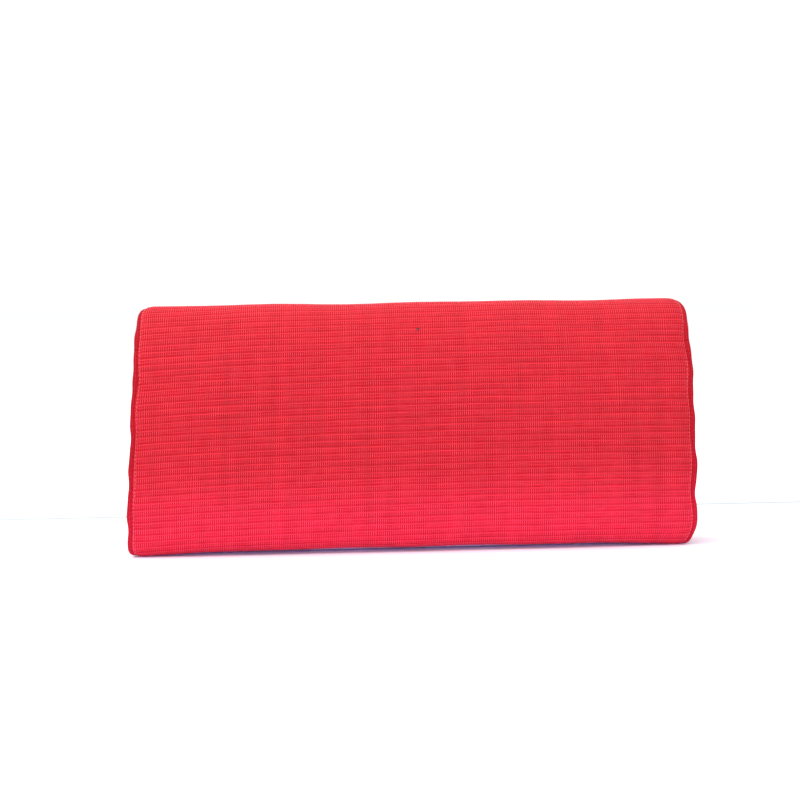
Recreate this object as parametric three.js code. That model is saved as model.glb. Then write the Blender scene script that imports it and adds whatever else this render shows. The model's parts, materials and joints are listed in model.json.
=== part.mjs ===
// A fire blanket folded up in its soft sewn carrying pouch, standing on its long edge.
//
// Millimetres. +X runs along the long edge, -Y is the plain face, +Y is the closure side and
// +Z is up. The origin is under the middle of the pouch, on the surface that it stands on.
//
// The pouch is one strip of cloth: down the plain face, under the base and up the closure side
// to the mouth. Its other end carries on over the top as the flap, in three stretches that fold
// back one after another, and hangs down the closure side, held by hook and loop.
import * as THREE from 'three';

// Overall size.
const WIDTH = 300;
const HEIGHT = 130;
const DEPTH = 50;
const TOP_NARROWING = 11; // how much narrower the top is than the base
const END_PINCH = 0.12; // share of the depth that the sewn ends lose

// The cloth and the room between layers.
const CLOTH = 1.6;
const LAYER_GAP = 0.3;
const LOOSE_GAP = 0.4;
const CORNER_GAP = 1; // where two panels meet at an angle

// The side view: full near the base, drawn in towards the top.
const BELLY_HEIGHT = 36;
const BELLY_SWELL = 10; // how far the belly stands out past the flat base
const CREST_Y = 8;
const HEEL_RADIUS = 8.5; // closure side, where the cloth turns up from the base

// Where the flap folds, as drops below the crest, and how far each fold axis stands proud.
const FLAP_FOLD_DROP = 35;
const TOP_FOLD_DROP = 10;
const TAIL_FOLD_ANGLE = 25; // degrees round the far corner, above level
const FOLD_PROUD = 1;
const TAIL_REACH = 68; // lowest edge of the flap's tail, below the crest

// The mouth and its edge tape.
const MOUTH_RISE = 1; // the mouth's edge, above the foot of the far corner's curve
const EDGE_TAPE = 0.7;
const EDGE_TAPE_HEIGHT = 12;

// The side seams and the flap's bound edges.
const SEAM_WIDTH = 3.7;
const SEAM_THICKNESS = 2.4;
const SEAM_LIFT = 0.4; // how far the side seams stay below the panels' outer surface
const GUSSET_INSET = 5; // from the pouch's end to the outside of the gusset

// Hook and loop.
const STRIP_WIDTH = 60;
const STRIP_HEIGHT = 20;
const STRIP_THICKNESS = 1;
const STRIP_X = 92;
const STRIP_EDGE = 6; // from the tail's lowest edge to the strip

// The blanket and its pull tapes.
const BLANKET_EASE = 0.9;
const BLANKET_END_EASE = 1.4;
const BLANKET_CORNER = 6;
const TAPE_WIDTH = 25;
const TAPE_THICKNESS = 1;
const TAPE_X = 34;
const TAPE_SHOWS = 14; // length of tape in sight below the flap
const TAPE_SEWN_RUN = 12; // length sewn on top of the blanket, past the crest

// Mesh fineness.
const CURVE_STEPS = 8;
const LENGTH_STEP = 27;

// Derived sizes.
const halfDepth = DEPTH / 2;
const farRadius = halfDepth - CREST_Y;
// What lies between the outside of the tail and the pouch: hook and loop in one place, the pull
// tape and the mouth's edge tape in another.
const tapeDepth = CLOTH + 2 * LAYER_GAP;
const closureStack = CLOTH + 2 * STRIP_THICKNESS + 3 * LAYER_GAP;
const tapeStack = tapeDepth + TAPE_THICKNESS + EDGE_TAPE + 2 * LAYER_GAP;
const frontY = halfDepth - Math.max(closureStack, tapeStack);
const mouthZ = HEIGHT - farRadius + MOUTH_RISE;
const tailEndZ = HEIGHT - TAIL_REACH;
const clothEndX = WIDTH / 2 - SEAM_WIDTH - LAYER_GAP;

const redCloth = { color: 0xdb2c42, roughness: 0.85, metalness: 0 };
const seamTape = { color: 0xa81227, roughness: 0.8, metalness: 0 };
const blackTape = { color: 0x1b1b1d, roughness: 0.9, metalness: 0 };
const glassCloth = { color: 0xe9e6dc, roughness: 0.75, metalness: 0 };

// The side view's curves, each a piece of one line that runs up the plain face, over the
// crest and down the closure side. Angles on the face's ellipse are 0 at the belly and 90
// degrees at the crest.
const crownAngle = (z) => Math.asin((z - BELLY_HEIGHT) / (HEIGHT - BELLY_HEIGHT));

function faceCurve(fromAngle, toAngle) {
  return new THREE.EllipseCurve(
    CREST_Y, BELLY_HEIGHT, halfDepth + CREST_Y, HEIGHT - BELLY_HEIGHT,
    Math.PI - fromAngle, Math.PI - toAngle, true,
  );
}

function lowerFaceCurve() {
  return new THREE.EllipseCurve(
    BELLY_SWELL - halfDepth, BELLY_HEIGHT, BELLY_SWELL, BELLY_HEIGHT,
    1.5 * Math.PI, Math.PI, true,
  );
}

function farCurve(fromAngle, toAngle) {
  return new THREE.EllipseCurve(
    CREST_Y, HEIGHT - farRadius, farRadius, farRadius, fromAngle, toAngle, true,
  );
}

function heelCurve() {
  return new THREE.EllipseCurve(
    frontY - HEEL_RADIUS, HEEL_RADIUS, HEEL_RADIUS, HEEL_RADIUS, 0, -0.5 * Math.PI, true,
  );
}

const down = (y, fromZ, toZ) => new THREE.LineCurve(
  new THREE.Vector2(y, fromZ), new THREE.Vector2(y, toZ),
);

const foldAngle = crownAngle(HEIGHT - FLAP_FOLD_DROP);
const topAngle = crownAngle(HEIGHT - TOP_FOLD_DROP);
const crestAngle = Math.PI / 2;
const tailAngle = THREE.MathUtils.degToRad(TAIL_FOLD_ANGLE);

// Points along one or more curves in turn, each with the direction square to the line, inwards.
function lineOf(...curves) {
  const points = [];
  for (const curve of curves) {
    const steps = curve instanceof THREE.LineCurve ? 1 : CURVE_STEPS;
    for (const point of curve.getPoints(steps)) {
      const last = points[points.length - 1];
      if (!last || last.distanceTo(point) > 1e-6) {
        points.push(point);
      }
    }
  }
  return points.map((point, i) => {
    const before = points[Math.max(i - 1, 0)];
    const after = points[Math.min(i + 1, points.length - 1)];
    const along = after.clone().sub(before).normalize();
    return { point, inward: new THREE.Vector2(along.y, -along.x) };
  });
}

// The same line at a depth below itself.
const inset = (line, depth) => line.map(
  ({ point, inward }) => point.clone().addScaledVector(inward, depth),
);

// Ends pulled back along a line, to leave room at a fold.
function trimmed(points, startTrim, endTrim) {
  const result = points.map((point) => point.clone());
  const last = result.length - 1;
  const startStep = result[1].clone().sub(result[0]);
  const endStep = result[last - 1].clone().sub(result[last]);
  result[0].addScaledVector(startStep.normalize(), startTrim);
  result[last].addScaledVector(endStep.normalize(), endTrim);
  return result;
}

// A layer that lies along a line, between two depths below it.
function layer(line, outer, inner, startTrim = 0, endTrim = 0) {
  return new THREE.Shape([
    ...trimmed(inset(line, outer), startTrim, endTrim),
    ...trimmed(inset(line, inner), startTrim, endTrim).reverse(),
  ]);
}

// The filled pouch's shape: narrower at the top, and drawn in where the ends are sewn.
function soften(geometry, narrows) {
  const position = geometry.getAttribute('position');
  for (let i = 0; i < position.count; i += 1) {
    const narrowing = narrows ? (TOP_NARROWING / WIDTH) * (position.getZ(i) / HEIGHT) : 0;
    const x = position.getX(i) * (1 - narrowing);
    const pinch = END_PINCH * ((2 * x) / WIDTH) ** 4;
    position.setX(i, x);
    position.setY(i, position.getY(i) * (1 - pinch));
  }
  geometry.computeVertexNormals();
  return geometry;
}

const sideViewToSpace = new THREE.Matrix4().makeBasis(
  new THREE.Vector3(0, 1, 0), new THREE.Vector3(0, 0, 1), new THREE.Vector3(1, 0, 0),
);

const part = new THREE.Group();

// A side-view shape run along X and softened, as one named piece.
function addPiece(name, shape, startX, endX, finish, narrows = true) {
  const length = endX - startX;
  const geometry = new THREE.ExtrudeGeometry(shape, {
    depth: length,
    steps: Math.ceil(length / LENGTH_STEP),
    curveSegments: CURVE_STEPS,
    bevelEnabled: false,
  });
  geometry.translate(0, 0, startX);
  geometry.applyMatrix4(sideViewToSpace);
  const mesh = new THREE.Mesh(soften(geometry, narrows), new THREE.MeshStandardMaterial(finish));
  mesh.name = name;
  part.add(mesh);
}

// The same piece at both ends of the pouch.
function addPair(name, shape, innerX, outerX, finish) {
  addPiece(`${name}_left`, shape, -outerX, -innerX, finish);
  addPiece(`${name}_right`, shape, innerX, outerX, finish);
}

// The outer line of the strip of cloth, from the base's plain-side edge round to the tail's
// end. Every layer takes its stretch of this one line, so that the layers nest.
const tailDrop = down(halfDepth, HEIGHT - farRadius, tailEndZ);
const roofLine = lineOf(
  lowerFaceCurve(), faceCurve(0, foldAngle), faceCurve(foldAngle, topAngle),
  faceCurve(topAngle, crestAngle), farCurve(crestAngle, tailAngle), farCurve(tailAngle, 0), tailDrop,
);
const roofStretch = (fromCurve, toCurve) => roofLine.slice(
  fromCurve * CURVE_STEPS, toCurve * CURVE_STEPS + 1,
);
const backLine = roofStretch(0, 2);
const shoulderLine = roofStretch(2, 3);
const topLine = roofStretch(3, 5);
const tailLine = roofLine.slice(5 * CURVE_STEPS);
const frontLine = lineOf(down(frontY, mouthZ, HEEL_RADIUS), heelCurve());
const halfGap = LAYER_GAP / 2;

// A box in the side view.
function boxShape(lowY, highY, lowZ, highZ) {
  return new THREE.Shape([
    new THREE.Vector2(lowY, lowZ), new THREE.Vector2(highY, lowZ),
    new THREE.Vector2(highY, highZ), new THREE.Vector2(lowY, highZ),
  ]);
}

// The pouch's own cloth.
function addPouchCloth() {
  const baseBackY = BELLY_SWELL - halfDepth + CORNER_GAP;
  const baseFrontY = frontY - HEEL_RADIUS - CORNER_GAP;
  addPiece(
    'back_panel', layer(backLine, 0, CLOTH, 0, halfGap), -clothEndX, clothEndX, redCloth,
  );
  addPiece(
    'bottom_panel', boxShape(baseBackY, baseFrontY, 0, CLOTH), -clothEndX, clothEndX, redCloth,
  );
  addPiece('front_panel', layer(frontLine, 0, CLOTH), -clothEndX, clothEndX, redCloth);
}

// The underside of the roof at a depth, from a height up the plain face to the closure side,
// cut off square at two upright limits.
function roofBetween(depth, fromZ, lowY, highY) {
  const points = inset(roofStretch(0, 6), depth).filter((point) => point.y > fromZ);
  const first = points.findIndex((point) => point.x > lowY);
  const last = points.findLastIndex((point) => point.x < highY);
  return points.slice(Math.max(first - 1, 0), last + 2).map(
    (point) => new THREE.Vector2(THREE.MathUtils.clamp(point.x, lowY, highY), point.y),
  );
}

// The end walls, cut to the side view and set in from the ends.
function addGussets() {
  const farY = frontY - CLOTH - LOOSE_GAP;
  const baseZ = CLOTH + LOOSE_GAP;
  const wall = roofBetween(CLOTH + LOOSE_GAP, baseZ, -halfDepth, farY);
  const shape = new THREE.Shape();
  shape.moveTo(wall[0].x, baseZ);
  for (const point of wall) {
    shape.lineTo(point.x, point.y);
  }
  shape.absarc(frontY - HEEL_RADIUS, HEEL_RADIUS, HEEL_RADIUS - baseZ, 0, -0.5 * Math.PI, true);
  const outerX = WIDTH / 2 - GUSSET_INSET;
  addPair('gusset', shape, outerX - CLOTH, outerX, redCloth);
}

// The turned seams that join the strip to the gussets, up both faces and under the base.
function addSideSeams() {
  const base = new THREE.LineCurve(
    new THREE.Vector2(frontY - HEEL_RADIUS, 0), new THREE.Vector2(BELLY_SWELL - halfDepth, 0),
  );
  const seamLine = lineOf(
    down(frontY, mouthZ, HEEL_RADIUS), heelCurve(), base, lowerFaceCurve(),
    faceCurve(0, foldAngle),
  );
  const shape = layer(seamLine, SEAM_LIFT, SEAM_LIFT + SEAM_THICKNESS, 0, halfGap);
  addPair('side_seam', shape, WIDTH / 2 - SEAM_WIDTH, WIDTH / 2, seamTape);
}

// The tape folded over the mouth's edge.
function addMouthTape() {
  const outerY = frontY + LAYER_GAP;
  const innerY = frontY - CLOTH - LAYER_GAP;
  const topZ = mouthZ + LAYER_GAP;
  const lowZ = topZ - EDGE_TAPE_HEIGHT;
  const shape = new THREE.Shape([
    new THREE.Vector2(outerY, lowZ), new THREE.Vector2(outerY + EDGE_TAPE, lowZ),
    new THREE.Vector2(outerY + EDGE_TAPE, topZ + EDGE_TAPE),
    new THREE.Vector2(innerY - EDGE_TAPE, topZ + EDGE_TAPE),
    new THREE.Vector2(innerY - EDGE_TAPE, lowZ), new THREE.Vector2(innerY, lowZ),
    new THREE.Vector2(innerY, topZ), new THREE.Vector2(outerY, topZ),
  ]);
  const endX = WIDTH / 2 - GUSSET_INSET - CLOTH - LAYER_GAP;
  addPiece('mouth_tape', shape, -endX, endX, seamTape);
}

// The flap's three stretches, each with its bound edges, and the hem of the tail.
function addFlap() {
  const stretches = { shoulder: shoulderLine, top: topLine, tail: tailLine };
  const hemTopZ = tailEndZ + SEAM_WIDTH;
  for (const [name, line] of Object.entries(stretches)) {
    const isTail = name === 'tail';
    const endGap = isTail ? 0 : halfGap;
    const panel = layer(line, 0, CLOTH, halfGap, isTail ? SEAM_WIDTH + LAYER_GAP : halfGap);
    addPiece(`flap_${name}`, panel, -clothEndX, clothEndX, redCloth);
    const edge = layer(line, 0, CLOTH + LAYER_GAP, halfGap, endGap);
    addPair(`flap_${name}_edge`, edge, WIDTH / 2 - SEAM_WIDTH, WIDTH / 2, seamTape);
  }
  const hem = boxShape(halfDepth - CLOTH - LAYER_GAP, halfDepth, tailEndZ, hemTopZ);
  addPiece('flap_tail_hem', hem, -clothEndX, clothEndX, seamTape);
}

// Loop strips on the pouch, hook strips facing them on the tail.
function addHookAndLoop() {
  const lowZ = tailEndZ + STRIP_EDGE;
  const loopY = frontY + LAYER_GAP;
  const hookY = halfDepth - CLOTH - LAYER_GAP - STRIP_THICKNESS;
  const innerX = STRIP_X - STRIP_WIDTH / 2;
  const outerX = STRIP_X + STRIP_WIDTH / 2;
  const loop = boxShape(loopY, loopY + STRIP_THICKNESS, lowZ, lowZ + STRIP_HEIGHT);
  const hook = boxShape(hookY, hookY + STRIP_THICKNESS, lowZ, lowZ + STRIP_HEIGHT);
  addPair('loop_strip', loop, innerX, outerX, blackTape);
  addPair('hook_strip', hook, innerX, outerX, blackTape);
}

// The tapes run over the blanket and the mouth, between the pouch and the flap.
function addPullTapes() {
  const sewnStart = CREST_Y - TAPE_SEWN_RUN;
  const run = roofLine.slice(3 * CURVE_STEPS).filter(({ point }) => point.x > sewnStart);
  const shape = layer(run, tapeDepth, tapeDepth + TAPE_THICKNESS, 0, -TAPE_SHOWS);
  addPair('pull_tape', shape, TAPE_X - TAPE_WIDTH / 2, TAPE_X + TAPE_WIDTH / 2, blackTape);
}

// The folded blanket, which has to come straight up out of the mouth.
function addBlanket() {
  const [backEdge] = inset(backLine.slice(-1), CLOTH);
  const lowY = backEdge.x + BLANKET_EASE;
  const highY = frontY - CLOTH - LAYER_GAP - EDGE_TAPE - BLANKET_EASE;
  const floorZ = CLOTH + LOOSE_GAP;
  const sideZ = floorZ + BLANKET_CORNER;
  const shape = new THREE.Shape();
  shape.moveTo(lowY, sideZ);
  const roofDepth = tapeDepth + TAPE_THICKNESS + LOOSE_GAP;
  for (const point of roofBetween(roofDepth, BELLY_HEIGHT, lowY, highY)) {
    shape.lineTo(point.x, point.y);
  }
  shape.lineTo(highY, sideZ);
  shape.quadraticCurveTo(highY, floorZ, highY - BLANKET_CORNER, floorZ);
  shape.lineTo(lowY + BLANKET_CORNER, floorZ);
  shape.quadraticCurveTo(lowY, floorZ, lowY, sideZ);
  const topShare = 1 - TOP_NARROWING / WIDTH;
  const endX = (WIDTH / 2 - GUSSET_INSET - CLOTH) * topShare - BLANKET_END_EASE;
  addPiece('blanket', shape, -endX, endX, glassCloth, false);
}

addPouchCloth();
addGussets();
addSideSeams();
addMouthTape();
addFlap();
addHookAndLoop();
addPullTapes();
addBlanket();

// Where each fold's axis lies in the side view: on the cloth's outer surface, a little proud.
export const foldAxes = [backLine, shoulderLine, topLine].map(
  (line) => inset(line.slice(-1), -FOLD_PROUD)[0],
);

export default part;
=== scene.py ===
# %% [markdown]
# # A fire blanket in its soft pouch
# The real object is a glass-fibre blanket, folded up small and pushed into a red cloth pouch.
# The pouch is one strip of ribbed cloth wrapped round the blanket, sewn at both ends to a small
# end wall, with its free end brought over the top as a flap. We start from the fixed frame,
# which says where every piece is and how the flap and the blanket move.

# %% Load the frame
import json
import math

import bmesh
import bpy
import numpy as np
from mathutils import Matrix, Vector


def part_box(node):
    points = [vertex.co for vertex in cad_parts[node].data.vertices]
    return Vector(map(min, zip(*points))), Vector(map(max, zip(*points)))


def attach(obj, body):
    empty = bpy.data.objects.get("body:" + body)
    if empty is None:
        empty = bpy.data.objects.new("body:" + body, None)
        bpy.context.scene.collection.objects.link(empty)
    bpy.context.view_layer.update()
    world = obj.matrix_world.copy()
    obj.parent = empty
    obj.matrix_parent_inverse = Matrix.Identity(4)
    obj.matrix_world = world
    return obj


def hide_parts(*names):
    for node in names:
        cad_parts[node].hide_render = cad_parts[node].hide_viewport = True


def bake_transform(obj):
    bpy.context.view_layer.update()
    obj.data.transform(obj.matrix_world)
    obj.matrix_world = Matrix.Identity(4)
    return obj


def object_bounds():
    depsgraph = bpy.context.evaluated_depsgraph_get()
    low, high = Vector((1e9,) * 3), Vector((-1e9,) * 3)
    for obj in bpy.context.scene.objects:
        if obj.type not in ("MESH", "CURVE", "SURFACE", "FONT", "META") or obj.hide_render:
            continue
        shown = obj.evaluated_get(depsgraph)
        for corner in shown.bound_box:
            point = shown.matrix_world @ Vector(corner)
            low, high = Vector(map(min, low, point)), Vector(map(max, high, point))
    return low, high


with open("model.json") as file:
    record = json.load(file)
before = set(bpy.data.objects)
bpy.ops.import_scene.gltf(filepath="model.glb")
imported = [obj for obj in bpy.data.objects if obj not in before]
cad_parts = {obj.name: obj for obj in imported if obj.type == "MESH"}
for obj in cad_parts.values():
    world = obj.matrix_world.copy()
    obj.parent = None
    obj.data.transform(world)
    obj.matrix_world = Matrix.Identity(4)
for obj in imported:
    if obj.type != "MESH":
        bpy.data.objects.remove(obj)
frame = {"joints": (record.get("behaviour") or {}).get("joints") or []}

mm = 0.001
cad_low, cad_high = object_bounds()
half_width = cad_high.x
half_depth = cad_high.y
height = cad_high.z
print(f"pouch {2 * half_width / mm:.0f} x {2 * half_depth / mm:.0f} x {height / mm:.0f} mm")

# %% [markdown]
# ## The camera
# A camera is easiest to place from what it looks at: a point to aim for, a direction to stand
# in and a distance. It stands low, a touch to the left, and is held slightly tilted. The lens
# is worked out from how much width the picture takes in at the pouch's plain face.

# %% Place the camera
aim = Vector((-5.1 * mm, 0, 78.5 * mm))
camera_azimuth = math.radians(-3.5)
camera_elevation = math.radians(4)
camera_roll = math.radians(-0.85)
camera_distance = 1.05
picture_width = 0.414

away = Vector((
    math.sin(camera_azimuth) * math.cos(camera_elevation),
    -math.cos(camera_azimuth) * math.cos(camera_elevation),
    math.sin(camera_elevation),
))
camera = bpy.data.objects.new("camera", bpy.data.cameras.new("camera"))
bpy.context.scene.collection.objects.link(camera)
bpy.context.scene.camera = camera
camera.location = aim + away * camera_distance
camera.rotation_mode = "QUATERNION"
facing = (-away).to_track_quat("-Z", "Y")
camera.rotation_quaternion = facing @ Matrix.Rotation(camera_roll, 3, "Z").to_quaternion()
face_distance = camera_distance - half_depth
camera.data.lens = camera.data.sensor_width * face_distance / picture_width
print(f"lens {camera.data.lens:.0f} mm")

# %% [markdown]
# ## The side view
# Seen from its end the pouch is one line: from the mouth down the closure side, round the heel,
# under the base, up the plain face, over the crest and down again as the flap's tail. Each
# round stretch is a piece of an ellipse, so the line needs no list of points. We sample it
# finely and measure along it, because cloth is measured along its surface: a place on the
# strip is then `v` metres from the mouth's edge.

# %% Draw the side view
run_steps = 119
leg_run, heel_run, base_run, belly_run, shoulder_run, crest_run = range(6)
belly_height = 36 * mm
belly_swell = 10 * mm
crest_y = 8 * mm
heel_radius = 8.5 * mm
far_radius = half_depth - crest_y
front_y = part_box("front_panel")[1].y
mouth_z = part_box("front_panel")[1].z
tail_end_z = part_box("flap_tail_hem")[0].z


def bow(centre_y, centre_z, radius_y, radius_z, from_degrees, to_degrees):
    turn = np.radians(np.linspace(from_degrees, to_degrees, run_steps + 1))
    return np.stack([centre_y + radius_y * np.cos(turn), centre_z + radius_z * np.sin(turn)], 1)


def straight(start, end):
    return np.linspace(start, end, run_steps + 1)


base_back_y = belly_swell - half_depth
heel_y = front_y - heel_radius
runs = [
    straight((front_y, mouth_z), (front_y, heel_radius)),
    bow(heel_y, heel_radius, heel_radius, heel_radius, 0, -90),
    straight((heel_y, 0), (base_back_y, 0)),
    bow(base_back_y, belly_height, belly_swell, belly_height, 270, 180),
    bow(crest_y, belly_height, half_depth + crest_y, height - belly_height, 180, 90),
    bow(crest_y, height - far_radius, far_radius, far_radius, 90, 0),
    straight((half_depth, height - far_radius), (half_depth, tail_end_z)),
]
outline = np.concatenate([runs[0]] + [run[1:] for run in runs[1:]])
outline_v = np.concatenate([[0], np.cumsum(np.linalg.norm(np.diff(outline, axis=0), axis=1))])
strip_length = outline_v[-1]
run_ends = [outline_v[(i + 1) * run_steps] for i in range(len(runs))]
view_step = 0.6 * mm
print(f"strip of cloth {strip_length / mm:.0f} mm long")


def side_view(v):
    """Where the line is at v, and the direction square to it, outwards: y, z, out_y, out_z."""
    y, z = (np.interp(v, outline_v, outline[:, k]) for k in (0, 1))
    middle = np.clip(v, view_step, strip_length - view_step)
    along_y, along_z = (
        np.interp(middle + view_step, outline_v, outline[:, k])
        - np.interp(middle - view_step, outline_v, outline[:, k])
        for k in (0, 1)
    )
    length = np.hypot(along_y, along_z)
    return y, z, -along_z / length, along_y / length


def v_where(run, share):
    """The place along the line, a share of the way through one of its runs."""
    start = run_ends[run - 1] if run else 0
    return start + share * (run_ends[run] - start)


# %% [markdown]
# ## A sheet bent into place
# Nearly everything here is cloth, and cloth starts flat. So one helper makes a flat grid with
# Blender's own operator and then moves its points: `place(s, t)` says where a point ends up,
# with `s` across and `t` along, both from 0 to 1. The UV map keeps the flat size in metres, so
# a weave drawn on it follows the cloth round every bend. A tube is a sheet whose two long
# edges are merged. No edge of cloth is quite straight, so `waves` gives slow uneven waves.

# %% Make the sheet helper
merge_distance = 0.001 * mm


def waves(x, *parts):
    """A sum of slow waves. Each part has a size, a length that it changes over, and a start."""
    return sum(size * np.sin(x / length + start) for size, length, start in parts)


def put_points(mesh, points):
    mesh.vertices.foreach_set("co", points.astype(np.float32).ravel())
    mesh.update()


def numbers(items, key, width, kind=np.float32):
    """One property of many items, as an array with a row for each."""
    found = np.empty(len(items) * width, kind)
    items.foreach_get(key, found)
    return found.reshape(-1, width)


def get_points(mesh):
    return numbers(mesh.vertices, "co", 3).astype(float)


def corners_of(mesh):
    """The point at each face corner, by its number."""
    return numbers(mesh.loops, "vertex_index", 1, np.int32)[:, 0]


def new_object(name, mesh):
    made = bpy.data.objects.new(name, mesh)
    bpy.context.scene.collection.objects.link(made)
    return made


def object_from(name, bm):
    mesh = bpy.data.meshes.new(name)
    bm.to_mesh(mesh)
    bm.free()
    return new_object(name, mesh)


def bent_sheet(name, columns, rows, place, flat, tube=False, warp=None):
    bm = bmesh.new()
    bmesh.ops.create_grid(bm, x_segments=columns, y_segments=rows, size=0.5)
    mesh = bpy.data.meshes.new(name)
    bm.to_mesh(mesh)
    st = get_points(mesh)[:, :2] + 0.5
    put_points(mesh, np.stack(place(st[:, 0], st[:, 1]), 1))
    uv = st * np.array(flat)
    if warp is not None:
        uv[:, 1] += warp(uv[:, 0])
    corner_uv = uv[corners_of(mesh)].astype(np.float32).ravel()
    mesh.uv_layers.new(name="cloth").data.foreach_set("uv", corner_uv)
    bm.clear()
    bm.from_mesh(mesh)
    if tube:
        bmesh.ops.remove_doubles(bm, verts=bm.verts, dist=merge_distance)
        rims = [edge for edge in bm.edges if edge.is_boundary]
        bmesh.ops.holes_fill(bm, edges=rims, sides=0)
        bmesh.ops.recalc_face_normals(bm, faces=bm.faces)
    for face in bm.faces:
        face.smooth = True
    bm.to_mesh(mesh)
    bm.free()
    return new_object(name, mesh)


def thicken(sheet, thickness):
    """Gives a sheet its thickness, inwards. Its inside gets the second of two material slots."""
    for _ in ("outside", "inside"):
        sheet.data.materials.append(None)
    solid = sheet.modifiers.new("thickness", "SOLIDIFY")
    solid.thickness = thickness
    solid.offset = -1
    solid.material_offset = 1
    solid.material_offset_rim = 0
    return settled(sheet)


def faced_out(sheet, outwardness):
    """Turns a sheet's faces over if, summed over all of them, they point inwards."""
    bm = bmesh.new()
    bm.from_mesh(sheet.data)
    bm.normal_update()
    if sum(outwardness(face) for face in bm.faces) < 0:
        bmesh.ops.reverse_faces(bm, faces=bm.faces)
    bm.to_mesh(sheet.data)
    bm.free()


def settled(piece):
    """Applies what modifiers the piece has, so that its mesh is final."""
    bpy.context.view_layer.update()
    evaluated = piece.evaluated_get(bpy.context.evaluated_depsgraph_get())
    mesh = bpy.data.meshes.new_from_object(evaluated)
    piece.modifiers.clear()
    piece.data = mesh
    return piece


# %% [markdown]
# ## How the filled pouch holds its cloth
# A flat strip wrapped round a block would be stiff and square. The real one is drawn in at its
# sewn ends, is narrower at the top, has its corners cut by the seam, leans a little, and lifts
# off the floor along the middle of its foot. All of that is one function: `u` metres from the
# middle and `v` metres along the strip go in, and a place in space comes out.

# %% Shape the filled pouch
seam_width = 2.4 * mm
cloth_half = half_width - seam_width
narrowing = 9 / 300
end_pinch = 0.12
lean = 0.021
roll_radius = 8 * mm
roll_reach = 4.2 * mm
cuts = {-1: {"top": (2.5 * mm, 4.5 * mm), "base": (3.5 * mm, 9 * mm)},
        1: {"top": (2.5 * mm, 4 * mm), "base": (5.0 * mm, 13 * mm)}}
wave_share = {-1: 0.4, 1: 0.65}
foot_lift, foot_tall = 2.2 * mm, 12 * mm
floor_gap = 0.05 * mm
cloth_wave = 0.28 * mm


def quarter(share):
    """0 at the start of a cut corner and 1 where it is cut deepest."""
    return 1 - np.sqrt(1 - np.clip(share, 0, 1) ** 2)


def scallops(v, side):
    """How the sewn edge waves in and out between its puckers."""
    parts = (0.55, 4.3, side), (0.45, 6.7, 2.1 * side + 1.3)
    return wave_share[side] * mm * waves(v / mm, *parts)


def end_pull(z, v, side):
    """How far the end of the cloth is pulled in at a height, on one side."""
    top_in, top_tall = cuts[side]["top"]
    base_in, base_tall = cuts[side]["base"]
    pulled = top_in * quarter((z - (height - top_tall)) / top_tall)
    pulled = pulled + base_in * quarter((base_tall - z) / base_tall)
    return pulled - scallops(v, side)


def soft_waves(u, v):
    """The slow rise and fall of cloth over something folded."""
    a, b = u / mm, v / mm
    broad = np.sin(a / 19 + b / 31) * np.sin(b / 17 + 0.6)
    slanting = np.sin(a / 11 - b / 23 + 2)
    return cloth_wave * (broad + 0.7 * slanting)


def held_cloth(u, v):
    y, z, out_y, out_z = side_view(v)
    reach = np.abs(u) / cloth_half
    past_roll = np.clip(np.abs(u) - (cloth_half - roll_reach), 0, roll_reach)
    sunk = roll_radius - np.sqrt(roll_radius**2 - past_roll**2)
    pull = np.where(u < 0, end_pull(z, v, -1), end_pull(z, v, 1))
    lifted = soft_waves(u, v) * (1 - reach**6) - sunk
    x = u * (1 - narrowing * z / height) - np.sign(u) * pull * reach**8
    y = y * (1 - end_pinch * (x / half_width) ** 4) + out_y * lifted
    foot = foot_lift * (1 - reach**4) * np.clip(1 - z / foot_tall, 0, 1) ** 2
    return x + lean * z, y, np.maximum(z + out_z * lifted, floor_gap) + foot


# %% [markdown]
# ## Filling it: the cloth simulation
# Sewing gathers the cloth, so it puckers beside the seam. Blender's cloth does that if the
# cloth near the seam is a few per cent too long for the seam it is sewn to. The coarse strip
# starts in the shape above, its two sewn edges are pinned and its middle is held softly, as
# the folded blanket holds it. Only how far each point moved is kept, and that is added to the
# fine sheets later, so the simulation stays small and quick. A short run gives shallow puckers,
# so each move is enlarged, and capped so that no fold grows too deep.

# %% Simulate the strip
coarse = 2.6 * mm
sim_columns = round(2 * cloth_half / coarse)
sim_rows = round(strip_length / coarse)
pucker_reach = 26 * mm
move_cap = 1.2 * mm
pucker_gain = 4
least_hold, extra_hold = 0.02, 0.23
seam_shrink = -0.13
sim_frames = 20
nothing = 1e-9


def strip_place(s, t):
    return held_cloth((2 * s - 1) * cloth_half, t * strip_length)


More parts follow.
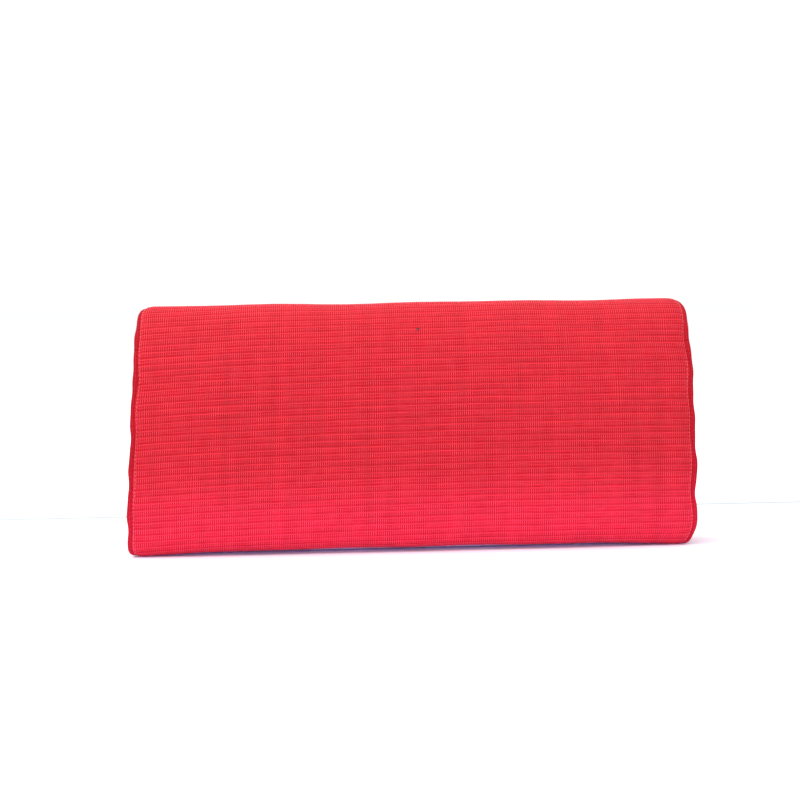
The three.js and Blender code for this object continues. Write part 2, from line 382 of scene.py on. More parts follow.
def simulate_strip():
    strip = bent_sheet("strip", sim_columns, sim_rows, strip_place, (2 * cloth_half, strip_length))
    start = get_points(strip.data)
    uv = np.empty((len(start), 2))
    uv[corners_of(strip.data)] = numbers(strip.data.uv_layers[0].data, "uv", 2)
    from_seam = np.minimum(uv[:, 0], 2 * cloth_half - uv[:, 0])
    from_end = np.minimum(uv[:, 1], strip_length - uv[:, 1])
    near = np.clip(1 - from_seam / pucker_reach, 0, 1)
    held = least_hold + extra_hold * (1 - near) ** 2
    held[np.minimum(from_seam, from_end) < 0.6 * coarse] = 1
    pin, slack = strip.vertex_groups.new(name="pin"), strip.vertex_groups.new(name="slack")
    for i in range(len(start)):
        pin.add([i], float(held[i]), "REPLACE")
        slack.add([i], float(near[i]), "REPLACE")
    cloth = strip.modifiers.new("cloth", "CLOTH")
    settings = {
        "quality": 6, "mass": 0.05, "tension_stiffness": 25, "compression_stiffness": 25,
        "shear_stiffness": 10, "bending_stiffness": 0.05, "pin_stiffness": 1,
        "vertex_group_mass": "pin", "vertex_group_shrink": "slack", "shrink_min": 0,
        "shrink_max": seam_shrink, "use_pressure": True, "uniform_pressure_force": 3,
    }
    for key, value in settings.items():
        setattr(cloth.settings, key, value)
    cloth.settings.effector_weights.gravity = 0
    cloth.collision_settings.use_collision = False
    cloth.collision_settings.use_self_collision = False
    for number in range(sim_frames):
        bpy.context.scene.frame_set(number + 1)
    moved = get_points(settled(strip).data) - start
    bpy.context.scene.frame_set(1)
    bpy.data.objects.remove(strip)
    far = np.linalg.norm(moved, axis=1)
    print(f"cloth moved {far.mean() / mm:.2f} mm on average, {far.max() / mm:.2f} at most")
    capped = np.tanh(pucker_gain * far / move_cap) * move_cap / np.maximum(far, nothing)
    grid = np.zeros((sim_rows + 1, sim_columns + 1, 3))
    column = np.rint(uv[:, 0] / (2 * cloth_half) * sim_columns).astype(int)
    row = np.rint(uv[:, 1] / strip_length * sim_rows).astype(int)
    grid[row, column] = moved * capped[:, None]
    return grid


moves = simulate_strip()


def between(grid, row, column):
    """Reads a grid of values between its points, with a smooth curve through them."""
    def weights(f):
        return (
            -0.5 * f + f**2 - 0.5 * f**3, 1 - 2.5 * f**2 + 1.5 * f**3,
            0.5 * f + 2 * f**2 - 1.5 * f**3, -0.5 * f**2 + 0.5 * f**3,
        )
    last_row, last_column = grid.shape[0] - 1, grid.shape[1] - 1
    r = np.clip(np.floor(row), 0, last_row - 1).astype(int)
    c = np.clip(np.floor(column), 0, last_column - 1).astype(int)
    total = 0
    for i, wi in enumerate(weights(row - r)):
        for j, wj in enumerate(weights(column - c)):
            value = grid[np.clip(r + i - 1, 0, last_row), np.clip(c + j - 1, 0, last_column)]
            total = total + (wi * wj)[:, None] * value
    return total


contact_gap = 0.02 * mm


def cloth_at(u, v):
    """Where a point of the strip ends up once the pouch is filled."""
    u, v = np.broadcast_arrays(np.asarray(u, float), np.asarray(v, float))
    u, v = u.ravel(), v.ravel()
    row = v / strip_length * sim_rows
    column = (u / cloth_half + 1) / 2 * sim_columns
    points = np.stack(held_cloth(u, v), 1) + between(moves, row, column)
    points[:, 2] = np.maximum(points[:, 2], contact_gap)
    return points


def cloth_out(u, v):
    """The direction out of the cloth there."""
    step = 0.5 * mm
    right, left = np.minimum(u + step, cloth_half), np.maximum(u - step, -cloth_half)
    across = cloth_at(right, v) - cloth_at(left, v)
    along = cloth_at(u, np.minimum(v + step, strip_length)) - cloth_at(u, np.maximum(v - step, 0))
    out = np.cross(across, along)
    return out / np.linalg.norm(out, axis=1)[:, None]


# %% [markdown]
# ## Cutting the strip where the flap folds
# The strip is one cloth, but a piece in this scene can bend over only one joint. So it is made
# in four panels that meet edge to edge: the closure side, the plain face, the shoulder and the
# tail. Each takes its points from the same function, and its normals are set from it too, so
# that no line shows where two panels meet.

# %% Make the panels
cloth_thickness = 1.3 * mm
cell = 1.45 * mm
joints = {joint["name"]: joint for joint in frame["joints"]}


def nearest_v(y, z):
    """The place along the side view nearest to a point, past the middle of the base."""
    apart = np.hypot(outline[:, 0] - y, outline[:, 1] - z)
    apart[outline_v < v_where(base_run, 0.5)] = np.inf
    return outline_v[apart.argmin()]


fold_v = {}
for joint_name in ("flap_fold", "top_fold", "tail_fold"):
    _, fold_y, fold_z = joints[joint_name]["pos_m"]
    fold_v[joint_name] = nearest_v(fold_y, fold_z)
base_middle = v_where(base_run, 0.5)
shoulder_middle = (fold_v["flap_fold"] + fold_v["top_fold"]) / 2
top_middle = (fold_v["top_fold"] + fold_v["tail_fold"]) / 2
rib_slope, rib_curve = 0.012, 0.00008
rib_sag_reach = 28


def rib_drift(u):
    """How far the ribs have been pulled from straight: they sag towards the left seam."""
    from_left = u / mm
    x = from_left - cloth_half / mm
    return mm * (np.exp(-from_left / rib_sag_reach) - rib_slope * x + rib_curve * x**2)


def panel(name, from_v, to_v, nodes):
    length = to_v - from_v
    columns, rows = round(2 * cloth_half / cell), round(length / cell)

    def place(s, t):
        return cloth_at((2 * s - 1) * cloth_half, from_v + t * length).T

    made = bent_sheet(
        name, columns, rows, place, (2 * cloth_half, length),
        warp=lambda u: from_v + rib_drift(u),
    )
    outer = len(made.data.vertices)
    flat_u = (np.arange(outer) % (columns + 1)) / columns
    flat_v = (np.arange(outer) // (columns + 1)) / rows
    normals = cloth_out((2 * flat_u - 1) * cloth_half, from_v + flat_v * length)
    thicken(made, cloth_thickness)
    mesh = made.data
    corner = corners_of(mesh)
    corner_normals = np.zeros((len(corner), 3))
    on_top = corner < outer
    corner_normals[on_top] = normals[corner[on_top]]
    mesh.normals_split_custom_set(corner_normals.tolist())
    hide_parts(*nodes)
    print(f"{name}: {len(mesh.polygons)} faces, {length / mm:.0f} mm of the strip")
    return made


def bends(piece):
    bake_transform(piece)


front_cloth = panel("front_cloth", 0, base_middle, ["front_panel", "bottom_panel"])
plain_cloth = panel("plain_cloth", base_middle, shoulder_middle, ["back_panel"])
shoulder_cloth = panel("shoulder_cloth", shoulder_middle, top_middle, ["flap_shoulder", "flap_top"])
tail_cloth = panel("tail_cloth", top_middle, strip_length, ["flap_tail"])
panel_v = {
    "front": (0, base_middle, front_cloth), "plain": (base_middle, shoulder_middle, plain_cloth),
    "shoulder": (shoulder_middle, top_middle, shoulder_cloth),
    "tail": (top_middle, strip_length, tail_cloth),
}
panel_fold = {"front": None, "plain": "flap_fold", "shoulder": "top_fold", "tail": "tail_fold"}


def goes_with(piece, panel_name):
    """A panel, and each piece sewn to it, rides on the pouch, or has its place baked into its points."""
    if panel_fold[panel_name] is None:
        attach(piece, "pouch")
    else:
        bends(piece)
    return piece


for panel_name, (from_v, to_v, cloth_panel) in panel_v.items():
    goes_with(cloth_panel, panel_name)
    to_v - from_v


# %% [markdown]
# ## The turned seams
# At each end the strip and the end wall are sewn together and the edge is turned, which leaves
# a soft narrow ridge standing out past the seam. It is a tube that runs along the edge of the
# cloth, flattened, and a little uneven, as several folded layers are. It is cut where the
# panels are cut, so that each stretch bends with its own panel.

# %% Sew the side seams
seam_thick = 1.9 * mm
seam_half_wide, seam_out, seam_drop = 1.45 * mm, 0.8 * mm, 0.5 * mm
crest_slim, slimming = 14 * mm, 0.6
seam_cell, fewest_rows = 1.6 * mm, 6
round_columns = 16
tube_girth = 10 * mm
seam_nodes = {
    "front": ["side_seam"], "plain": ["side_seam"],
    "shoulder": ["flap_shoulder_edge", "flap_top_edge"], "tail": ["flap_tail_edge"],
}


def turned_seam(panel_name, side):
    from_v, to_v, _ = panel_v[panel_name]
    end = "left" if side < 0 else "right"

    def place(s, t):
        v = from_v + t * (to_v - from_v)
        k = v / mm
        edge = cloth_at(side * cloth_half, v)
        _, _, out_y, out_z = side_view(v)
        turn = 2 * math.pi * s
        tilt = waves(k, (0.3 * mm, 5.9, 2 * side)) - seam_drop
        slim = 1 - slimming * np.clip((edge[:, 2] - (height - crest_slim)) / crest_slim, 0, 1)
        swell = (1 + waves(k, (0.14, 3.7, side), (0.08, 1.9, 0))) * slim
        flattened = np.sign(np.cos(turn)) * np.abs(np.cos(turn)) ** 0.8
        across = seam_out * slim + seam_half_wide * swell * flattened
        up = tilt + seam_thick / 2 * swell * np.sin(turn)
        return (
            edge[:, 0] + side * across, edge[:, 1] + out_y * up,
            np.maximum(edge[:, 2] + out_z * up, contact_gap),
        )

    rows = max(round((to_v - from_v) / seam_cell), fewest_rows)
    made = bent_sheet(
        f"seam_{panel_name}_{end}", round_columns, rows, place, (tube_girth, to_v - from_v),
        tube=True,
    )
    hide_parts(*[f"{node}_{end}" for node in seam_nodes[panel_name]])
    return goes_with(made, panel_name)


seams = [turned_seam(panel_name, side) for panel_name in panel_v for side in (-1, 1)]


hem_overhang = 1.5 * mm
hem_half_thick, hem_half_tall = 1.1 * mm, 2.0 * mm
hem_in, hem_up = 0.75 * mm, 1.9 * mm


def tail_hem():
    def place(s, t):
        u = (2 * t - 1) * (cloth_half + hem_overhang)
        turn = 2 * math.pi * s
        edge = cloth_at(np.clip(u, -cloth_half, cloth_half), strip_length)
        swell = 1 + waves(u / mm, (0.08, 4.1, 0), (0.06, 2.3, 0))
        spare = u - np.clip(u, -cloth_half, cloth_half)
        return (
            edge[:, 0] + spare, edge[:, 1] - hem_in + hem_half_thick * swell * np.cos(turn),
            edge[:, 2] + hem_up + hem_half_tall * swell * np.sin(turn),
        )

    flat = (tube_girth, 2 * cloth_half)
    made = bent_sheet("hem", round_columns, 150, place, flat, tube=True)
    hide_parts("flap_tail_hem")
    return goes_with(made, "tail")


hem = tail_hem()
print(f"{len(seams)} stretches of turned seam and a hem")

# %% [markdown]
# ## The end walls
# Each end of the pouch is closed by a small wall of the same cloth. Its outline is the inside
# of the side view, so a row of its grid runs from the plain face to the closure side at one
# height. It swells out a little over the blanket and creases towards its corners.

# %% Make the end walls
wall_room = 1.9 * mm
wall_low, wall_drop = 2.3 * mm, 3.4 * mm
wall_gap = 0.3 * mm
wall_swell = 1.7


def inside_line(first_run, last_run, depth):
    """The side view's line over some runs, at a depth below the surface: y and z."""
    v = np.linspace(v_where(first_run, 0), v_where(last_run, 1), 300)
    y, z, out_y, out_z = side_view(v)
    return y - depth * out_y, z - depth * out_z


def wall_edges(z):
    plain_y, plain_z = inside_line(belly_run, shoulder_run, wall_room)
    far_y, far_z = inside_line(crest_run, crest_run, wall_room)
    heel_line_y, heel_line_z = inside_line(leg_run, heel_run, wall_room)
    back = np.interp(z, plain_z, plain_y)
    front = np.interp(z, heel_line_z[::-1], heel_line_y[::-1])
    return back, np.minimum(front, np.interp(z, far_z[::-1], far_y[::-1]))


def end_wall(end, side):
    tall = height - wall_drop - wall_low

    def place(s, t):
        z = wall_low + t * tall
        back, front = wall_edges(z)
        y = back + s * (front - back)
        full = (4 * s * (1 - s)) ** 0.7 * np.clip(4 * t * (1 - t), 0, 1) ** 0.35
        crease = 0.35 * np.sin(s * 9 + t * 14) * (1 - s) + 0.3 * np.sin(t * 23 - s * 5 + side)
        edge_x = cloth_half * (1 - narrowing * z / height) - end_pull(z, 0 * z, side)
        x = edge_x + wall_gap + (wall_swell + crease) * mm * full
        return side * x + lean * z, y * (1 - end_pinch * (edge_x / half_width) ** 4), z

    size = (front_y + half_depth, tall)
    made = bent_sheet(f"end_wall_{end}", 34, 90, place, size)
    faced_out(made, lambda face: face.normal.x * side)
    thicken(made, cloth_thickness)
    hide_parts(f"gusset_{end}")
    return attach(made, "pouch")


end_walls = [end_wall("left", -1), end_wall("right", 1)]

# %% [markdown]
# ## The tape round the mouth
# The mouth's raw edge is bound with a folded tape. In the side view it is two straight legs
# and a half turn over the edge, so `t` runs up one leg, over and down the other.

# %% Bind the mouth
binding_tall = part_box("mouth_tape")[1].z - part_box("mouth_tape")[0].z
binding_half_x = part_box("mouth_tape")[1].x
binding_thick = 0.6 * mm
binding_radius, binding_rise = 1.65 * mm, 0.9 * mm
below_mouth = 5 * mm


def leg_and_turn(t, radius, tall):
    """A hairpin: up one leg, over a half turn and down the other, as y and z from its middle."""
    bend = math.pi * radius
    along = t * (2 * tall + bend)
    turn = np.clip((along - tall) / radius, 0, math.pi)
    y = -radius * np.cos(turn)
    z = np.where(along < tall, along - tall, np.where(along > tall + bend, tall + bend - along, 0))
    return y, z + radius * np.sin(turn)


def bind_mouth():
    tall = binding_tall - binding_radius - 0.4 * mm

    def place(s, t):
        u = (2 * s - 1) * binding_half_x
        y, z = leg_and_turn(t, binding_radius, tall)
        cloth = cloth_at(u, below_mouth)
        top = mouth_z + binding_rise - binding_radius
        wave = waves(u / mm, (0.25 * mm, 17, 0), (0.15 * mm, 7.3, 0))
        return cloth[:, 0], cloth[:, 1] - cloth_thickness / 2 + y, top + z + wave

    flat = (2 * binding_half_x, 2 * tall + 5 * mm)
    made = bent_sheet("mouth_binding", 150, 34, place, flat)
    fold_y = front_y - binding_thick
    faced_out(made, lambda face: math.copysign(1, face.calc_center_median().y - fold_y) * face.normal.y)
    thicken(made, binding_thick)
    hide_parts("mouth_tape")
    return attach(made, "pouch")


mouth_binding = bind_mouth()

# %% [markdown]
# ## Hook and loop
# The flap is held by hook strips on the tail against loop strips on the pouch. A strip is a
# thin sheet that lies on the cloth, so it takes its points from `cloth_at` with a lift. The
# hooks are real: each is a short stem whose flat tip sits to one side. The loops are a low pile
# made in the material.

# %% Add the hook and loop strips
strip_low, strip_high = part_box("hook_strip_right")
strip_middle_u = (strip_low.x + strip_high.x) / 2
strip_half_u = (strip_high.x - strip_low.x) / 2
strip_tall = strip_high.z - strip_low.z
strip_thick = 0.9 * mm
strip_corner = 2 * mm


def soft_corners(s, t, width, tall, radius):
    """Pulls a sheet's corners in, so that they are round: the two places across and along."""
    x, y = (s - 0.5) * width, (t - 0.5) * tall
    over_x = np.clip(np.abs(x) - (width / 2 - radius), 0, radius)
    over_y = np.clip(np.abs(y) - (tall / 2 - radius), 0, radius)
    in_x = over_x * (1 - np.sqrt(1 - (over_y / radius) ** 2 / 2))
    in_y = over_y * (1 - np.sqrt(1 - (over_x / radius) ** 2 / 2))
    return x - np.sign(x) * in_x, y - np.sign(y) * in_y


def fastener(name, side, middle_v, lift, node, body):
    def place(s, t):
        across, along = soft_corners(s, t, 2 * strip_half_u, strip_tall, strip_corner)
        u, v = side * strip_middle_u + across, middle_v + along
        cloth = cloth_at(u, v)
        _, _, out_y, out_z = side_view(v)
        return cloth[:, 0], cloth[:, 1] + out_y * lift, cloth[:, 2] + out_z * lift

    made = bent_sheet(name, 44, 16, place, (2 * strip_half_u, strip_tall))
    thicken(made, strip_thick)
    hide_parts(node)
    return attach(made, body)


loop_v = mouth_z - (strip_low.z + strip_high.z) / 2
hook_v = strip_length - ((strip_low.z + strip_high.z) / 2 - tail_end_z)
loop_lift = 1.15 * mm
hook_depth = cloth_thickness + 0.15 * mm
loops, hooks = [], []
for end, side in (("left", -1), ("right", 1)):
    loops.append(fastener(
        f"loops_{end}", side, loop_v, loop_lift, f"loop_strip_{end}", "pouch",
    ))
    hooks.append(fastener(
        f"hook_base_{end}", side, hook_v, -hook_depth, f"hook_strip_{end}", "flap_end",
    ))


hook_pitch_u, hook_pitch_v = 2.0 * mm, 1.9 * mm
stem_long, stem_foot, stem_top = 0.7 * mm, 0.24 * mm, 0.16 * mm
stem_sunk = 0.2 * mm
tip_radius, tip_aside, tip_out = 0.26 * mm, 0.16 * mm, 0.36 * mm
tip_shape = Matrix.Diagonal((1.5, 0.7, 1, 1))


def hook_field(end, side):
    """Rows of little hooks under a hook strip, pointing at the pouch."""
    bm = bmesh.new()
    turned = Matrix.Rotation(math.radians(90), 4, "X")
    count_u, count_v = int(2 * strip_half_u / hook_pitch_u) - 1, int(strip_tall / hook_pitch_v)
    for i in range(count_u):
        for j in range(count_v):
            u = side * strip_middle_u + (i - (count_u - 1) / 2) * hook_pitch_u
            v = hook_v + (j - (count_v - 1) / 2) * hook_pitch_v
            spot = Vector(cloth_at(u, v)[0])
            spot.y -= hook_depth + strip_thick + stem_sunk
            bmesh.ops.create_cone(
                bm, cap_ends=False, segments=5, radius1=stem_foot, radius2=stem_top,
                depth=stem_long, matrix=Matrix.Translation(spot) @ turned,
            )
            tip = spot + Vector((tip_aside * (-1) ** i, -tip_out, 0))
            bmesh.ops.create_icosphere(
                bm, subdivisions=1, radius=tip_radius, matrix=Matrix.Translation(tip) @ tip_shape,
            )
    made = object_from(f"hooks_{end}", bm)
    print(f"hooks_{end}: {count_u * count_v} hooks")
    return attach(made, "flap_end")


hook_fields = [hook_field("left", -1), hook_field("right", 1)]

# %% [markdown]
# ## The pull tapes
# Two black webbing tapes are sewn to the blanket's top, run over the mouth and hang down
# between the pouch and the flap, with their ends in sight. Their route is the side view again,
# at a depth, carried straight on past the end of the flap.

# %% Run the pull tapes
tape_low, tape_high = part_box("pull_tape_right")
tape_middle_x = (tape_low.x + tape_high.x) / 2
tape_half_x = (tape_high.x - tape_low.x) / 2
tape_thick = 1.0 * mm
tape_depth = 2.3 * mm
tape_start_y = crest_y - 12 * mm
on_shoulder = slice(shoulder_run * run_steps, crest_run * run_steps + 1)
tape_from_v = float(np.interp(tape_start_y, outline[on_shoulder, 0], outline_v[on_shoulder]))
tape_to_v = strip_length + (tail_end_z - tape_low.z)


tape_length = tape_to_v - tape_from_v
tape_swing, tape_cup, tape_kick = 0.6 * mm, 0.25 * mm, 0.5 * mm
kick_reach = 14 * mm


def tape_route(side, x, v, depth):
    """Where a tape goes: a place across it and along it, at a depth under the side view."""
    y, z, out_y, out_z = side_view(v)
    past = np.maximum(v - strip_length, 0)
    kick = tape_kick * np.clip(past / kick_reach, 0, 1) ** 2
    swing = tape_swing * np.sin(v / mm / 23 + side) * (v - tape_from_v) / tape_length
    z = z - depth * out_z - past
    return side * tape_middle_x + x + swing + lean * z, y - depth * out_y + kick, z


def pull_tape(end, side):
    def place(s, t):
        cupped = tape_cup * (2 * s - 1) ** 2
        v = tape_from_v + t * tape_length
        return tape_route(side, (2 * s - 1) * tape_half_x, v, tape_depth + cupped)

    made = bent_sheet(f"pull_tape_{end}_web", 14, 90, place, (2 * tape_half_x, tape_length))
    thicken(made, tape_thick)
    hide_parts(f"pull_tape_{end}")
    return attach(made, "bundle")


pull_tapes = [pull_tape("left", -1), pull_tape("right", 1)]

# %% [markdown]
# ## The folded blanket
# The blanket is a real sheet, about 1.1 m square, and it is folded here as it is in the pouch:
# first in four across, then nine times to and fro. Both folds are paths of straight runs
# joined by half turns, one across and one along. The sheet's grid has one column for each
# point of the first path and one row for each point of the second.

# %% Fold the blanket
blanket_low, blanket_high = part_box("blanket")
glass_thickness = 0.42 * mm
plies_across, panels_along = 4, 9
panel_pitch = (blanket_high.y - blanket_low.y) / panels_along
ply = panel_pitch / plies_across
blanket_depth = 3.8 * mm


def to_and_fro(count, pitch, ends_of, run_points, turn_points):
    """Straight runs joined by half turns, as points: along the runs, and across them."""
    points = []
    for k in range(count):
        here = (k + 0.5) * pitch
        low, high = ends_of(k)
        ends = (low, high) if k % 2 == 0 else (high, low)
        for share in np.linspace(0, 1, run_points):
            points.append((ends[0] + share * (ends[1] - ends[0]), here))
        if k < count - 1:
            outwards = 1 if k % 2 == 0 else -1
            for share in np.linspace(0, 1, turn_points + 2)[1:-1]:
                turn = math.pi * share
                points.append((
                    ends[1] + outwards * pitch / 2 * math.sin(turn),
                    here + pitch / 2 * (1 - math.cos(turn)),
                ))
    return np.array(points)


roof_y, roof_z = inside_line(shoulder_run, crest_run, blanket_depth)


panel_foot = blanket_low.z + 2 * ply + 0.3 * mm
roof_spots = (-0.8, 0, 0.8)


def panel_ends(k):
    """How low and how high one panel of the blanket reaches: two joined panels, one height."""
    pair_middle = blanket_low.y + (2 * (k // 2) + 1) * panel_pitch
    last = k == panels_along - 1
    middle = blanket_low.y + (k + 0.5) * panel_pitch if last else pair_middle
    reach = 0.1 * mm if last else 2 * ply
    roof = min(np.interp(middle + d * panel_pitch, roof_y, roof_z) for d in roof_spots)
    return panel_foot, roof - reach


across_path = to_and_fro(
    plies_across, ply, lambda k: (blanket_low.x + ply, blanket_high.x - ply),
    run_points=26, turn_points=4,
)
along_path = to_and_fro(panels_along, panel_pitch, panel_ends, run_points=9, turn_points=9)


def measured(path):
    return np.concatenate([[0], np.cumsum(np.linalg.norm(np.diff(path, axis=0), axis=1))])


across_m, along_m = measured(across_path), measured(along_path)
along_step = np.gradient(along_path, axis=0)
along_step /= np.linalg.norm(along_step, axis=1)[:, None]


def fold_blanket():
    def place(s, t):
        i = np.rint(s * (len(across_path) - 1)).astype(int)
        j = np.rint(t * (len(along_path) - 1)).astype(int)
        x = across_path[i, 0]
        off = across_path[i, 1] - 2 * ply
        z = along_path[j, 0] - off * along_step[j, 1]
        y = blanket_low.y + along_path[j, 1] + off * along_step[j, 0]
        slack = 0.12 * mm * np.sin(x / mm / 21 + along_m[j] * 40)
        slack = slack + 0.1 * mm * np.sin(x / mm / 9 + j)
        droop = 0.8 * mm * (x / half_width) ** 2
        return x + lean * z, y + slack, z - droop * np.clip(z / height, 0, 1)

    flat = (across_m[-1], along_m[-1])
    made = bent_sheet(
        "folded_blanket", len(across_path) - 1, len(along_path) - 1, place, (1, 1),
    )
    uv = numbers(made.data.uv_layers[0].data, "uv", 2)
    for axis, path_m in enumerate((across_m, along_m)):
        index = np.arange(len(path_m)) / (len(path_m) - 1)
        uv[:, axis] = np.interp(uv[:, axis], index, path_m)
    made.data.uv_layers[0].data.foreach_set("uv", uv.ravel())
    thicken(made, glass_thickness)
    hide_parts("blanket")
    print(f"folded blanket: {flat[0]:.2f} x {flat[1]:.2f} m of cloth")
    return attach(made, "bundle")


folded_blanket = fold_blanket()

# %% [markdown]
# ## Stitching
# Sewing shows as short bars of thread, each pulled into the cloth at both ends. One bar is a
# flattened ball with a few faces, placed again and again along a line on the cloth. The lines
# run beside the side seams, round the hook strips and along the hem.

# %% Sew the stitches
thread_radius = 0.24 * mm
stitch_pitch = 2.1 * mm
stitch_length = 1.55 * mm


def stitch_mesh(name, spots, runs, outs):
    bm = bmesh.new()
    for spot, run, out in zip(spots, runs, outs):
        run, out = Vector(run).normalized(), Vector(out).normalized()
        side = out.cross(run).normalized()
        turned = Matrix((run, side, out)).transposed().to_4x4()
        size = Matrix.Diagonal((stitch_length / 2, thread_radius, thread_radius * 0.8, 1))
        bmesh.ops.create_uvsphere(
            bm, u_segments=6, v_segments=5, radius=1,
            matrix=Matrix.Translation(Vector(spot)) @ turned @ size @ Matrix.Rotation(math.pi / 2, 4, "Y"),
        )
    for face in bm.faces:
        face.smooth = True
    made = object_from(name, bm)
    return made


def on_cloth(u, v, lift, run_u, run_v):
    """Spots on the cloth, with the direction of the sewing and the way out."""
    u, v = np.broadcast_arrays(np.asarray(u, float), np.asarray(v, float))
    spots = cloth_at(u, v)
    outs = cloth_out(u, v)
    step = 0.4 * mm
    behind, ahead = (
        cloth_at(
            np.clip(u + way * step * run_u, -cloth_half, cloth_half),
            np.clip(v + way * step * run_v, 0, strip_length),
        )
        for way in (-1, 1)
    )
    return spots + outs * lift, ahead - behind, outs


seam_stitch_in, hem_stitch_in, strip_stitch_in = 1.1 * mm, 5.6 * mm, 2 * mm


def panel_stitches(panel_name):
    from_v, to_v, _ = panel_v[panel_name]
    lines = []
    for side in (-1, 1):
        v = np.arange(from_v + stitch_pitch / 2, to_v, stitch_pitch)
        u = side * (cloth_half - seam_stitch_in + waves(v / mm, (0.2 * mm, 8, 0)))
        lines.append(on_cloth(u, v, 0.05 * mm, 0, 1))
    if panel_name == "tail":
        u = np.arange(-cloth_half + 4 * mm, cloth_half - 3 * mm, stitch_pitch)
        lines.append(on_cloth(u, strip_length - hem_stitch_in, 0.03 * mm, 1, 0))
        for side in (-1, 1):
            reach_u, reach_v = strip_half_u - strip_stitch_in, strip_tall / 2 - strip_stitch_in
            across = np.arange(-reach_u, reach_u + 0.1 * mm, stitch_pitch)
            for v in (hook_v - reach_v, hook_v + reach_v):
                lines.append(on_cloth(side * strip_middle_u + across, v, 0.03 * mm, 1, 0))
            along = np.arange(-strip_tall / 2 + 3 * mm, strip_tall / 2 - 2.9 * mm, stitch_pitch)
            for u in (-reach_u, reach_u):
                lines.append(on_cloth(side * strip_middle_u + u, hook_v + along, 0.03 * mm, 0, 1))
    spots, runs_of, outs = (np.concatenate([line[k] for line in lines]) for k in range(3))
    made = stitch_mesh(f"stitches_{panel_name}", spots, runs_of, outs)
    print(f"stitches_{panel_name}: {len(spots)} stitches")
    return goes_with(made, panel_name)


stitches = [panel_stitches(panel_name) for panel_name in panel_v]


def binding_stitches():
    u = np.arange(-binding_half_x + 4 * mm, binding_half_x - 3 * mm, stitch_pitch)
    spots = cloth_at(u, below_mouth)
    spots[:, 1] += 1.02 * mm
    spots[:, 2] = mouth_z - binding_tall + 3.4 * mm
    runs_of, outs = np.tile([1.0, 0, 0], (len(u), 1)), np.tile([0, 1.0, 0], (len(u), 1))
    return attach(stitch_mesh("stitches_mouth", spots, runs_of, outs), "pouch")


def tape_stitches(end, side):
    """A sewn box with a cross in it where the tape joins the blanket, and a bar near its end."""
    half = tape_half_x - 3 * mm
    across = np.arange(-half, half + 0.1 * mm, stitch_pitch)
    near_v, far_v = tape_from_v + 3 * mm, tape_from_v + 19 * mm
    marks = [(x, near_v, 1, 0) for x in across] + [(x, far_v, 1, 0) for x in across]
    marks += [(x, tape_to_v - 4 * mm, 1, 0) for x in across]
    for share in np.linspace(0.1, 0.9, 8):
        v = near_v + share * (far_v - near_v)
        marks += [(-half, v, 0, 1), (half, v, 0, 1)]
        marks += [(half * (2 * share - 1), v, 1, 0.8), (-half * (2 * share - 1), v, -1, 0.8)]
    spots, runs_of, outs = [], [], []
    for x, v, run_x, run_v in marks:
        _, _, out_y, out_z = side_view(v)
        spots.append(tape_route(side, x, v, tape_depth - 0.02 * mm))
        runs_of.append((run_x, out_z * run_v, -out_y * run_v))
        outs.append((0, out_y, out_z))
    made = stitch_mesh(f"stitches_tape_{end}", spots, runs_of, outs)
    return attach(made, "bundle")


mouth_stitches = binding_stitches()
tape_sewing = [tape_stitches("left", -1), tape_stitches("right", 1)]

# %% [markdown]
# ## A speck of lint
# Real cloth picks up fluff. One short dark fibre lies curled on the shoulder of the pouch: a
# tube that follows a curl and gets thinner.

# %% Drop the lint
lint_y, lint_z = -10.6 * mm, 116.5 * mm
lint_radius = 0.3 * mm
lint_curl = 4.6


def lint():
    middle_v = nearest_v(lint_y, lint_z)

    def place(s, t):
        curl = lint_curl * t
        u = 1.9 * mm + (0.75 - 0.3 * t) * mm * np.cos(curl)
        v = middle_v + (0.85 - 0.2 * t) * mm * np.sin(curl)
        out = cloth_out(u, v)
        middle = cloth_at(u, v) + out * lint_radius
        turn = 2 * math.pi * s
        radius = lint_radius * (1 - 0.6 * t)
        inwards = np.stack((np.cos(curl), 0 * t, np.sin(curl)), 1)
        return (middle + radius[:, None] * (np.cos(turn)[:, None] * inwards
                + np.sin(turn)[:, None] * out)).T

    made = bent_sheet("lint", 8, 22, place, (2 * mm, 5 * mm), tube=True)
    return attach(made, "flap_lower")


lint_speck = lint()

# %% [markdown]
# ## Signals: sums that shader nodes work out
# Every finish is drawn by nodes. A `Signal` is a value that nodes work out at each spot of a
# surface. Adding or multiplying signals adds the nodes that do it, so a pattern can be written
# like the sum that it is.

# %% Set up signals
class Signal:
    def __init__(self, tree, socket):
        self.tree = tree
        self.socket = socket

    def worked(self, operation, *values):
        """A new signal: the operation's result on some values."""
        node = self.tree.nodes.new("ShaderNodeMath")
        node.operation = operation
        for socket, value in zip(node.inputs, values):
            feed(self.tree, socket, value)
        return Signal(self.tree, node.outputs[0])

    def of(self, operation):
        return self.worked(operation, self)

    def clamped(self):
        """The same signal, kept between 0 and 1."""
        self.socket.node.use_clamp = True
        return self

    def __add__(self, other):
        return self.worked("ADD", self, other)

    def __sub__(self, other):
        return self.worked("SUBTRACT", self, other)

    def __rsub__(self, other):
        return self.worked("SUBTRACT", other, self)

    def __mul__(self, other):
        return self.worked("MULTIPLY", self, other)

    def __truediv__(self, other):
        return self.worked("DIVIDE", self, other)

    def __pow__(self, other):
        return self.worked("POWER", self, other)


full_turn = 2 * math.pi


def feed(tree, socket, value):
    """Links a signal to a socket, or sets the socket to a plain value."""
    if isinstance(value, Signal):
        tree.links.new(value.socket, socket)
    else:
        socket.default_value = value


def signals(tree, sockets):
    return {socket.name: Signal(tree, socket) for socket in sockets}


